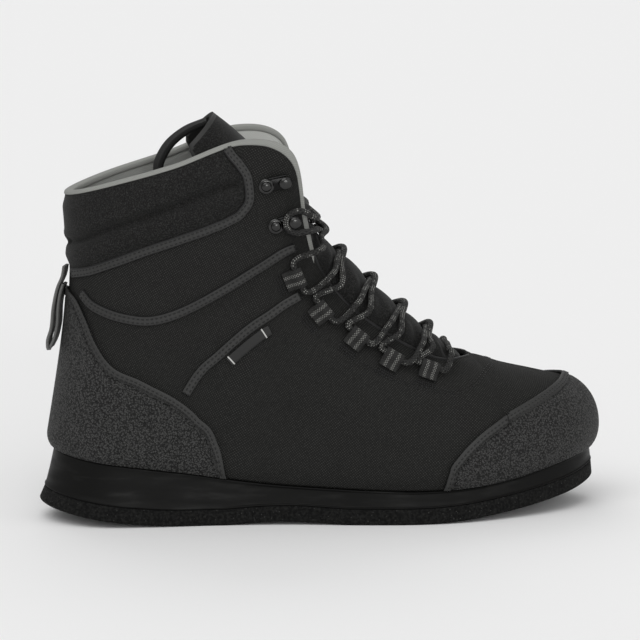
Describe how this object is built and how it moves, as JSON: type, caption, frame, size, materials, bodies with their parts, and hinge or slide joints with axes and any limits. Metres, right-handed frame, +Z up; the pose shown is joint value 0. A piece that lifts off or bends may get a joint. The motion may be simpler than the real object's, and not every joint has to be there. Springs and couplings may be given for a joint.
{
  "type": "wading boot",
  "caption": "Ankle-high lace-up wading boot with a felt sole, padded collar, gritty toe cap and heel counter, webbing lace loops and speed hooks.",
  "frame": {"origin": "middle of the heel's flat tread, on the floor", "axes": "+X from heel to toe, +Y towards the inner (medial) side of this right boot, +Z up"},
  "size_m": [0.3244, 0.1182, 0.2306],
  "materials": {
    "felt": "dense speckled felt",
    "rubber": "smooth satin rubber",
    "foam": "cloth-faced foam",
    "cloth": "coated fine weave",
    "grit": "gritty matt rubber",
    "binding": "folded and stitched",
    "webbing": "ribbed webbing",
    "cord": "braided, pale flecks",
    "metal": "black gloss",
    "label": "bare satin"
  },
  "bodies": {
    "root": {"felt_sole": "felt", "midsole": "rubber", "insole": "foam", "upper": "cloth", "toe_cap": "grit", "heel_counter": "grit", "tongue": "cloth", "tongue_pull_loop": "webbing", "heel_pull_loop": "webbing", "collar_band_lateral": "binding", "collar_band_medial": "binding", "ankle_band_lateral": "binding", "ankle_band_medial": "binding", "quarter_band_lateral": "binding", "quarter_band_medial": "binding", "side_label": "label", "lace_loop_lateral_1": "webbing", "lace_loop_lateral_2": "webbing", "lace_loop_lateral_3": "webbing", "lace_loop_lateral_4": "webbing", "lace_loop_lateral_5": "webbing", "lace_loop_medial_1": "webbing", "lace_loop_medial_2": "webbing", "lace_loop_medial_3": "webbing", "lace_loop_medial_4": "webbing", "lace_loop_medial_5": "webbing", "lace_hook_lateral_1": "metal", "lace_hook_lateral_2": "metal", "lace_hook_medial_1": "metal", "lace_hook_medial_2": "metal", "lace_rivet_lateral_1": "metal", "lace_rivet_lateral_2": "metal", "lace_rivet_medial_1": "metal", "lace_rivet_medial_2": "metal", "lace": "cord"}
  },
  "joints": []
}
